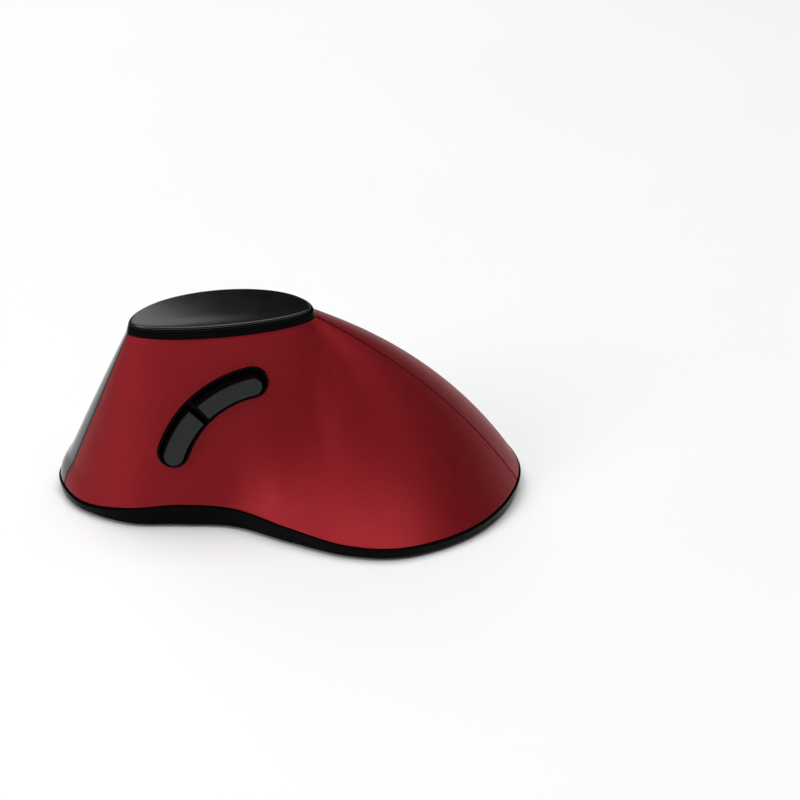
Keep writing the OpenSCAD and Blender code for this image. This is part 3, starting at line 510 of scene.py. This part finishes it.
def clear_plastic(name):
    """Clear optical plastic with slight ripples."""
    material, tree, out, coords = new_material(name)
    ripples = noise(tree, coords, 200)
    tree.links.new(ramp(tree, ripples, ((0.82, 0.88, 0.9), (0.9, 0.94, 0.95))), out.inputs["Base Color"])
    tree.links.new(span_of(tree, ripples, 0.03, 0.1), out.inputs["Roughness"])
    relief(tree, out, ripples, 0.01)
    out.inputs["Transmission Weight"].default_value = 0.9
    return material


RED = metallic_paint("satin_red", (0.2, 0.007, 0.0115), (0.29, 0.0105, 0.016))
GLOSS = moulded("gloss_black", ((0.003, 0.003, 0.0035), (0.005, 0.005, 0.006)), (0.07, 0.13), depth=0.0005)
RIM = moulded(
    "rim_black", ((0.0007, 0.0007, 0.0008), (0.0012, 0.0012, 0.0013)), (0.16, 0.24), depth=0.001,
    Specular_IOR_Level=0.035,
)
CAP = moulded("cap_black", ((0.001, 0.001, 0.0012), (0.002, 0.002, 0.0023)), (0.16, 0.2), depth=0.0005)
FASCIA = moulded(
    "fascia_black", ((0.008, 0.008, 0.009), (0.011, 0.011, 0.012)), (0.14, 0.2), depth=0.0005,
    Specular_IOR_Level=0.7,
)
KEY = moulded("key_black", ((0.008, 0.008, 0.009), (0.013, 0.013, 0.014)), (0.24, 0.32))
FACE = moulded(
    "button_grey", ((0.006, 0.0066, 0.0065), (0.008, 0.0088, 0.0086)), (0.3, 0.38),
    Specular_IOR_Level=0.35,
)
RUBBER = moulded("wheel_rubber", ((0.01, 0.01, 0.011), (0.02, 0.02, 0.021)), (0.6, 0.8), depth=0.02)
HUB = moulded("hub_grey", ((0.06, 0.062, 0.065), (0.085, 0.088, 0.09)), (0.3, 0.4), depth=0.006)
FRAME = moulded("frame_plastic", ((0.014, 0.014, 0.016), (0.022, 0.022, 0.025)), (0.4, 0.55), depth=0.02)
SWITCH = moulded("switch_black", ((0.01, 0.01, 0.012), (0.018, 0.018, 0.02)), (0.35, 0.5), depth=0.01)
IVORY = moulded("plunger", ((0.5, 0.46, 0.38), (0.58, 0.54, 0.46)), (0.3, 0.42), depth=0.006)
PAD = moulded("feet", ((0.018, 0.018, 0.02), (0.028, 0.028, 0.03)), (0.35, 0.5), depth=0.006)
PLUG_BLACK = moulded("receiver", ((0.014, 0.014, 0.016), (0.02, 0.02, 0.023)), (0.2, 0.32))
STEEL = brushed_metal("steel", ((0.5, 0.51, 0.53), (0.66, 0.67, 0.69)), (200, 200, 4000))
BRASS = brushed_metal("contact", ((0.55, 0.47, 0.25), (0.68, 0.6, 0.36)), (4000, 200, 200))
FINISHES = {
    "shell_red": RED,
    "gloss_black": GLOSS,
    "key_black": KEY,
    "button_grey": FACE,
    "wheel_rubber": RUBBER,
    "hub_grey": HUB,
    "frame_plastic": FRAME,
    "steel": STEEL,
    "board_green": circuit_board("board_green"),
    "switch_black": SWITCH,
    "plunger": IVORY,
    "lens_clear": clear_plastic("lens_clear"),
    "ribbon": striped("ribbon", ((0.5, 0.5, 0.46), (0.7, 0.7, 0.66)), 600.0, (0.3, 0.45), 0.0),
    "cell": striped("cell", ((0.01, 0.09, 0.05), (0.015, 0.13, 0.07)), 60.0, (0.2, 0.35), 0.5),
    "contact": BRASS,
    "receiver": PLUG_BLACK,
    "feet": PAD,
}

# Side buttons along an arc on the thumb side
ARC_O, ARC_R = (15.7, -18.3), 27
ARC_FROM, ARC_TO, ARC_MID, MID_HALF = 101, 161, 134.2, 2.1
BEZEL_HALF, BUTTON_HALF, BEZEL_TOP, SIDE_PROUD = 4, 3, 0.35, 3.6
BEZEL_LOW, BUTTON_LOW = -4.6, -5.8
BEZEL_EDGE = 0.2
FACE_IN, FACE_EDGE, TAPER_FROM, BACK_SLOPE = 0.4, 0.2, 0.5, 0.66
HOLE_Z = (-4, 6)
ARC_STEPS, END_STEPS = 40, 16
FACING = 0.9


def arc_end(half, degrees, turn, r):
    """Round end of an arc shape, from its first side to its second."""
    cx, cy = polar(r, degrees)
    tips = [polar(half, degrees + turn + 180 * i / END_STEPS) for i in range(1, END_STEPS)]
    return [(cx + x, cy + y) for x, y in tips]


def arc_outline(half, start, end, round_start=True, round_end=True, r=ARC_R):
    """Outline of a bent bar along the arc with round or square ends."""
    steps = [start + (end - start) * i / ARC_STEPS for i in range(ARC_STEPS + 1)]
    points = [polar(r + half, a) for a in steps]
    points += arc_end(half, end, 0, r) if round_end else []
    points += [polar(r - half, a) for a in reversed(steps)]
    points += arc_end(half, start, 180, r) if round_start else []
    return [(ARC_O[0] + x, ARC_O[1] + y) for x, y in points]


def button_outline(half, forward, spare=0, r=ARC_R):
    """Outline of a button, with spare room past its square end."""
    slack = math.degrees(spare / (ARC_R - BUTTON_HALF))
    if forward:
        return arc_outline(half, ARC_MID + MID_HALF - slack, ARC_TO, round_start=False, r=r)
    return arc_outline(half, ARC_FROM, ARC_MID - MID_HALF + slack, round_end=False, r=r)


def side_bezel():
    openings = [button_outline(BUTTON_HALF + MOVE_GAP, forward, MOVE_GAP) for forward in (True, False)]
    outlines = [arc_outline(BEZEL_HALF, ARC_FROM, ARC_TO), *openings]
    bezel = slab("side_bezel_ring", outlines, (BEZEL_LOW, BEZEL_TOP), BEZEL_EDGE, SIDE, [RIM])
    stand_for(bezel, "side_bezel")


def side_button(node, forward, slope):
    """A black button with a grey face; its wall on the outer side of the arc slopes in further."""
    half, r = BUTTON_HALF - FACE_IN - slope / 2, ARC_R - slope / 2
    foot = button_outline(BUTTON_HALF, forward)
    rings = [[(x, y, z) for x, y in foot] for z in (BUTTON_LOW, TAPER_FROM)]
    for inward, lift in rounded((0, SIDE_PROUD - FACE_EDGE), (FACE_EDGE, SIDE_PROUD)):
        outline = button_outline(half - inward, forward, -inward, r)
        rings.append([(x, y, lift) for x, y in outline])
    middle = np.mean(foot, 0)
    ends = [(*middle, BUTTON_LOW), (*middle, SIDE_PROUD)]
    button = loft(node + "_cap", rings, RIM, node, ends)
    button.data.materials.append(FACE)
    for face in button.data.polygons:
        if face.normal.z > FACING:
            face.material_index = 1
    button.data.transform(SIDE)
    stand_for(button, node)


# Shells, with the number of cells that their grids have round the body and up it
THUMB_CELLS, PALM_CELLS, FASCIA_CELLS, HEIGHT_CELLS = [200], [90, 60], [40], [12, 44]
SHELL_ROWS = axis([(0, 0), (SKIRT_V, 0), (1, 0)], HEIGHT_CELLS)


def thumb_shell():
    columns = axis([(SEAM_FRONT, SEAM), (SEAM_REAR, -SEAM)], THUMB_CELLS)
    shell = panel("thumb_shell_skin", columns, SHELL_ROWS, RED)
    outline = arc_outline(BEZEL_HALF + SEAM, ARC_FROM, ARC_TO)
    carve(shell, slab("hole", [outline], HOLE_Z, CRISP, SIDE, [RED]))
    stand_for(shell, "thumb_shell")


def palm_shell():
    columns = axis([(SEAM_REAR, SEAM), (KEY_REAR, 0), (KEY_FRONT, -SEAM)], PALM_CELLS)
    shell = panel("palm_shell_skin", columns, SHELL_ROWS, RED, cut=(KEY_REAR, SKIRT_V))
    stand_for(shell, "palm_shell")


def front_fascia():
    columns = axis([(KEY_FRONT, SEAM), (SEAM_FRONT + LAPS, -SEAM)], FASCIA_CELLS)
    stand_for(panel("front_fascia_skin", columns, SHELL_ROWS, FASCIA), "front_fascia")


# Main keys, wheel and dpi button
KEY_CELLS, LEFT_CELLS, RIGHT_CELLS, SPINE_CELLS = [60], [28], [24], [18]
WHEEL_R, WHEEL_W, WHEEL_SINK, TYRE_T = 10.5, 6.5, 6, 1.9
SLOT_X, SLOT_SIDE, SLOT_Z, SLOT_ROUND = 10.9, 0.5, (-8, 8), 1.2
DPI_X, DPI_LONG, DPI_WIDE = -15.5, 5.4, 3.6
DPI_TOP, DPI_LOW, DPI_ROUND, DPI_EDGE = 0.8, -2.6, 0.6, 0.3
RIBS, RIB_STEPS, RIB_DEEP = 40, 8, 0.45

# Half of the tyre's cross-section: drop below the tread, share of the width, share of the rib's depth
TREAD = (
    (TYRE_T, -0.5, 0), (0.9, -0.5, 0), (0.35, -0.45, 0.2),
    (0.08, -0.37, 0.8), (0, -0.27, 1), (0, 0, 1),
)


def main_keys():
    columns = axis([(KEY_REAR, KEY_GAP), (KEY_FRONT, -KEY_GAP - SWING_GAP)], KEY_CELLS)
    left_rows = axis([(SPINE_HI, KEY_GAP / 2), (1, -KEY_GAP)], LEFT_CELLS)
    right_rows = axis([(SKIRT_V, KEY_GAP), (SPINE_LO, -KEY_GAP / 2)], RIGHT_CELLS)
    for node, rows in (("left_key", left_rows), ("right_key", right_rows)):
        stand_for(panel(node + "_skin", columns, rows, KEY, node), node)


def dpi_outline(grow):
    return rounded_box(around(DPI_X, DPI_LONG / 2 + grow), around(0, DPI_WIDE / 2 + grow), DPI_ROUND + grow)


def wheel_spine():
    columns = axis([(KEY_REAR, KEY_GAP), (KEY_FRONT, -KEY_GAP)], KEY_CELLS)
    rows = axis([(SPINE_LO, KEY_GAP / 2), (SPINE_HI, -KEY_GAP / 2)], SPINE_CELLS)
    spine = panel("wheel_spine_skin", columns, rows, GLOSS)
    slot = rounded_box(around(0, SLOT_X), around(0, WHEEL_W / 2 + SLOT_SIDE), SLOT_ROUND)
    carve(spine, slab("slot", [slot], SLOT_Z, CRISP, DECK, [GLOSS]))
    carve(spine, slab("dpi_hole", [dpi_outline(MOVE_GAP)], SLOT_Z, CRISP, DECK, [GLOSS]))
    stand_for(spine, "wheel_spine")


def tyre_profile():
    """The tyre's cross-section as radius, share of the width and share of the rib's depth."""
    half = [(WHEEL_R - drop, share, rib) for drop, share, rib in TREAD]
    return half + [(r, -share, rib) for r, share, rib in half[-2::-1]]


def wheel_tyre():
    """A rubber tyre with cross ribs."""
    turns = RIBS * RIB_STEPS
    rings = []
    for i in range(turns):
        groove = RIB_DEEP * max(0.0, math.cos(2 * math.pi * i / RIB_STEPS)) ** 2
        spokes = []
        for r, share, rib in tyre_profile():
            x, z = polar(r - groove * rib, 360 * i / turns)
            spokes.append((x, share * WHEEL_W, z - WHEEL_SINK))
        rings.append(spokes)
    tyre = loft("wheel_tyre_ribbed", rings, RUBBER, "wheel")
    tyre.data.transform(DECK)
    stand_for(tyre, "wheel_tyre")


def dpi_button():
    heights = (DPI_LOW, DPI_TOP)
    button = slab("dpi_button_cap", [dpi_outline(0)], heights, DPI_EDGE, DECK, [FACE], "dpi_button")
    stand_for(button, "dpi_button")


# Cap: a gloss ring with an inlaid, slightly crowned oval face
CAP_COLS = 240
RING_FOOT, RING_IN, RING_W, RING_ROUND, RING_OVER, RING_DROP = 0.3, 0.55, 0.35, 0.4, 0.1, 0.55
RING_TOP = CAP_RISE - RING_DROP
SPIGOT_OUT, SPIGOT_IN, SPIGOT_DROP, LEDGE_DROP = 3.2, 4.2, 3.5, 1.4
LENS_EDGE, LENS_ROUND, LENS_SHOULDER, LENS_CROWN = 0.1, 0.45, 0.1, 0.45
CROWN_SHARES = (0.1, 0.2, 0.35, 0.5, 0.65, 0.8, 0.9)
ROUND_STEPS = 5


def rounded(low, high):
    """Points of a quarter round from a (grow, lift) point up and inward to another."""
    points = []
    for i in range(ROUND_STEPS + 1):
        c, s = polar(1, 90 * i / ROUND_STEPS)
        points.append((high[0] + (low[0] - high[0]) * c, low[1] + (high[1] - low[1]) * s))
    return points


def cap_ring_pts(grow, lift):
    return cap_pt(np.arange(CAP_COLS) * 360 / CAP_COLS, grow, lift)


def cap_middle(lift):
    return cap_pt(np.array([0.0, 180.0]), 0, lift).mean(0)


def cap_ring():
    edge = -RING_IN - RING_W
    ledge = CAP_RISE - LEDGE_DROP
    profile = [(-SPIGOT_IN, -SPIGOT_DROP), (-SPIGOT_OUT, -SPIGOT_DROP), (-SPIGOT_OUT, SEAM), (0, SEAM)]
    profile += [(RING_OVER, SEAM + RING_OVER), (RING_OVER, SEAM + RING_FOOT)]
    profile += rounded((RING_FOOT - RING_IN, RING_TOP - RING_ROUND), (-RING_IN, RING_TOP))
    profile += [(edge, RING_TOP), (edge, ledge), (-SPIGOT_IN, ledge)]
    ring = loft("cap_ring_band", [cap_ring_pts(*p) for p in profile], RIM)
    stand_for(ring, "cap_ring")


def cap_lens():
    edge = -RING_IN - RING_W - SEAM
    low = CAP_RISE - LEDGE_DROP + SET_FIT
    shoulder = CAP_RISE + LENS_SHOULDER
    profile = [(edge, low)] + rounded((edge, RING_TOP + LENS_EDGE), (edge - LENS_ROUND, shoulder))
    rings = [cap_ring_pts(*p) for p in profile]
    for share in CROWN_SHARES:
        lift = shoulder + (LENS_CROWN - LENS_SHOULDER) * (1 - (1 - share) ** 2)
        outer = cap_ring_pts(edge - LENS_ROUND, lift)
        rings.append(outer + (cap_middle(lift) - outer) * share)
    ends = [cap_middle(low), cap_middle(CAP_RISE + LENS_CROWN)]
    stand_for(loft("cap_face", rings, CAP, ends=ends), "cap_lens")


# Base
FOOT_GAP, FLOOR_Z = 0.6, 2
RIM_COLS, RIM_GAP, RIM_LIP, RIM_IN = 420, 0.2, 0.4, 2
EDGE_IN, EDGE_HIGH, LIP_DROP, LIP_IN = 1, 0.6, 0.5, 0.2
BAY_X, BAY_Y, BAY_TOP, BAY_WALL = (-7.2, 15.2), (-43, 5.9), 14.2, 1
POCKET_X, POCKET_Y, POCKET_TOP = (17.7, 24.8), (-29.3, -10), 15.7
ROOT = 0.5
SCREWS = ((-12.8, 42), (-22, -14), (20, -36), (29, -2), (2, 52), (17.6, 10.9), (6.3, 37.6), (6, 10.6))
HEAD_BORE_R, SCREW_SEAT, BOSS_R, BOSS_Z = 2.3, 2.8, 3.2, 4.2
FEET = ((12, 49.5), (-9, 48.5), (-25, -27), (24, -44), (29.5, 9))
FOOT_R, FOOT_SUNK, FOOT_EDGE = 4.2, 0.2, 0.25
SENSOR, SENSOR_R = (3, 26), 3.6
SLIDER, KNOB_X, KNOB_Y, SLIDE = (-4.5, 38.8), 4.4, 4, 3
BOX_ROUND = 0.6
GRIPS, GRIP_FIRST, GRIP_STEP = 4, 6.5, 2.2
GRIP_LONG, GRIP_WIDE, GRIP_DEEP, GRIP_ROUND = 10, 1, 0.4, 0.45
HEAD_LONG, HEAD_LOW, HEAD_EDGE = 6.7, 0.2, 0.4
PLUG_IN, PLUG_IN_Z, PLUG_EDGE = 1, 1.2, 0.2


def rim_ring(out, z, from_rim):
    """Ring of the footprint grown outward, at a height from the desk or from the rim."""
    u = np.arange(RIM_COLS) * LAPS / RIM_COLS
    r = row(u)
    run = row(u + D_U)[:, :2] - row(u - D_U)[:, :2]
    outward = unit(np.stack([run[:, 1], -run[:, 0]], -1))
    height = r[:, 3] + z if from_rim else np.full(RIM_COLS, z)
    return np.concatenate([r[:, :2] + outward * out, height[:, None]], -1)


def tray_rings():
    rings = []
    for out, z in rounded((0, EDGE_HIGH), (-EDGE_IN, 0)):
        rings.insert(0, rim_ring(out, FOOT_GAP + z, False))
    rings.append(rim_ring(RIM_LIP, -RIM_GAP - LIP_DROP, True))
    for out, z in rounded((RIM_LIP, -RIM_GAP - LIP_IN), (RIM_LIP - LIP_IN, -RIM_GAP)):
        rings.append(rim_ring(out, z, True))
    rings.append(rim_ring(-RIM_IN, -RIM_GAP, True))
    rings.append(rim_ring(-RIM_IN, FLOOR_Z, False))
    return rings


def tool(outline, z):
    return slab("tool", [outline], z, CRISP, WORLD, [RIM])


def base_tray():
    tray = loft("base_tray_shell", tray_rings(), RIM, ends=[(0, 0, FOOT_GAP), (0, 0, FLOOR_Z)])
    rooms = ((BAY_X, BAY_Y, BAY_TOP), (POCKET_X, POCKET_Y, POCKET_TOP))
    low = FOOT_GAP + ROOT
    added = [tool(circle(at, BOSS_R), (low, BOSS_Z)) for at in SCREWS]
    cut = [tool(circle(at, HEAD_BORE_R), (-OVER, SCREW_SEAT)) for at in SCREWS]
    for x, y, top in rooms:
        walls = rounded_box(grown(x, BAY_WALL), grown(y, BAY_WALL), BOX_ROUND)
        added.append(tool(walls, (low, top + BAY_WALL)))
        cut.append(tool(rounded_box(x, y, BOX_ROUND), (-OVER, top)))
    cut += [tool(circle(at, FOOT_R + SEAM), (-OVER, FOOT_GAP + FOOT_SUNK)) for at in FEET]
    cut.append(tool(circle(SENSOR, SENSOR_R), (-OVER, FLOOR_Z + OVER)))
    slot_x = around(SLIDER[0], KNOB_X / 2 + MOVE_GAP)
    slot_y = around(SLIDER[1], KNOB_Y / 2 + SLIDE / 2 + MOVE_GAP)
    cut.append(tool(rounded_box(slot_x, slot_y, BOX_ROUND), (-OVER, FLOOR_Z + OVER)))
    carve(tray, joined("added", added), "UNION")
    carve(tray, joined("cut", cut))
    stand_for(tray, "base_tray")


def battery_door():
    outline = rounded_box(grown(BAY_X, -MOVE_GAP), grown(BAY_Y, -MOVE_GAP), BOX_ROUND)
    heights = (FOOT_GAP, FLOOR_Z)
    door = slab("battery_door_plate", [outline], heights, FOOT_EDGE, WORLD, [FRAME], "battery_door")
    middle = sum(BAY_X) / 2
    grips = []
    for i in range(GRIPS):
        y = BAY_Y[0] + GRIP_FIRST + i * GRIP_STEP
        groove = rounded_box(around(middle, GRIP_LONG / 2), around(y, GRIP_WIDE / 2), GRIP_ROUND)
        grips.append(tool(groove, (FOOT_GAP - OVER, FOOT_GAP + GRIP_DEEP)))
    carve(door, joined("grips", grips))
    stand_for(door, "battery_door")


def glide_feet():
    heights = (0, FOOT_GAP + FOOT_SUNK)
    pads = [slab("pad", [circle(at, FOOT_R)], heights, FOOT_EDGE, WORLD, [PAD]) for at in FEET]
    stand_for(joined("glide_feet_pads", pads), "glide_feet")


def usb_receiver():
    head_x = grown(POCKET_X, -MOVE_GAP)
    head_y = (POCKET_Y[1] - MOVE_GAP - HEAD_LONG, POCKET_Y[1] - MOVE_GAP)
    head_z = (FOOT_GAP + HEAD_LOW, POCKET_TOP - MOVE_GAP)
    body = "usb_receiver"
    outline = rounded_box(head_x, head_y, BOX_ROUND)
    head = slab("usb_receiver_head", [outline], head_z, HEAD_EDGE, WORLD, [PLUG_BLACK], body)
    stand_for(head, "usb_receiver")
    plug_y = (POCKET_Y[0] + MOVE_GAP, head_y[0] + ROOT)
    plug = slab(
        "usb_receiver_plug", [rounded_box(grown(head_x, -PLUG_IN), plug_y, BOX_ROUND / 2)],
        grown(head_z, -PLUG_IN_Z), PLUG_EDGE, WORLD, [STEEL], body,
    )
    stand_for(plug, "usb_receiver")


def inner_finishes():
    """Gives every CAD node the finish of its slot."""
    for part in frame["record"]["subparts"]:
        mesh = frame["nodes"][part["node"]].data
        mesh.materials.clear()
        mesh.materials.append(FINISHES[part["material_slot"]])


# Stage: a pale floor and horizon, which fade into a dark sky over a span of its height.
# Each light has its place and size in metres and its power in watts.
FLOOR_R = 1200
HORIZON, SKY, HAZE = 0.82, 0.03, (0.06, 0.3)
AIM = Vector((0, 0, 0.02))
LIGHTS = {
    "top": ((0, 0, 2.4), (3, 3), 72),
    "front": ((-0.6, 0.75, 0.55), (0.5, 0.5), 3.4),
    "far": ((0.77, 0.41, 0.69), (0.6, 0.5), 1.75),
}


def floor():
    pale = ((0.9, 0.9, 0.9), (0.92, 0.92, 0.92))
    finish = moulded("floor", pale, (0.6, 0.7), patch=2, grain=300, depth=0.01)
    edge = [(x * MM, y * MM, 0) for x, y in circle((0, 0), FLOOR_R)]
    mesh = bpy.data.meshes.new("floor")
    mesh.from_pydata(edge, [], [range(CIRCLE_STEPS)])
    mesh.materials.append(finish)
    plane = bpy.data.objects.new("floor", mesh)
    bpy.context.scene.collection.objects.link(plane)


def studio_world():
    """A pale horizon under a darker sky."""
    world = bpy.data.worlds.new("studio")
    bpy.context.scene.world = world
    world.use_nodes = True
    tree = world.node_tree
    direction = tree.nodes.new("ShaderNodeTexCoord").outputs["Generated"]
    height = put(tree, "SeparateXYZ", {"Vector": direction}).outputs["Z"]
    shade = ramp(tree, height, ((HORIZON,) * 3, (SKY,) * 3), HAZE)
    tree.links.new(shade, tree.nodes["Background"].inputs["Color"])


def softbox(name, place, size, power):
    """A soft rectangular light aimed at the mouse."""
    light = bpy.data.lights.new(name, "AREA")
    light.shape = "RECTANGLE"
    light.size, light.size_y = size
    light.energy = power
    lamp = bpy.data.objects.new(name, light)
    bpy.context.scene.collection.objects.link(lamp)
    lamp.location = place
    lamp.rotation_euler = (AIM - Vector(place)).to_track_quat("-Z", "Y").to_euler()


# Camera: the photo's view, fitted in pixels of its square frame, from a distance in metres
ELEVATION = math.radians(30)
DISTANCE = 0.7
PX_PER_MM = 3.8
IMAGE = 800
ORIGIN_PX = (291, 488.3)
SENSOR_W = 36


def photo_camera():
    ahead = Vector((math.cos(ELEVATION), 0, -math.sin(ELEVATION)))
    right = Vector((0, -1, 0))
    up = right.cross(ahead)
    focal = PX_PER_MM * DISTANCE / MM
    data = bpy.data.cameras.new("camera")
    data.sensor_width = SENSOR_W
    data.lens = focal * SENSOR_W / IMAGE
    camera = bpy.data.objects.new("camera", data)
    bpy.context.scene.collection.objects.link(camera)
    camera.location = -ahead * DISTANCE
    aim = ahead * focal + right * (IMAGE / 2 - ORIGIN_PX[0]) + up * (ORIGIN_PX[1] - IMAGE / 2)
    level = Matrix((right, up, -ahead)).transposed().to_quaternion()
    camera.rotation_mode = "QUATERNION"
    camera.rotation_quaternion = ahead.rotation_difference(aim) @ level
    bpy.context.scene.camera = camera


inner_finishes()
base_tray()
thumb_shell()
palm_shell()
front_fascia()
cap_ring()
cap_lens()
side_bezel()
side_button("forward_button", True, 0)
side_button("back_button", False, BACK_SLOPE)
main_keys()
wheel_spine()
wheel_tyre()
dpi_button()
battery_door()
glide_feet()
usb_receiver()

floor()
studio_world()
for light_name, light in LIGHTS.items():
    softbox(light_name, *light)
photo_camera()
bpy.context.scene.view_settings.view_transform = "Standard"
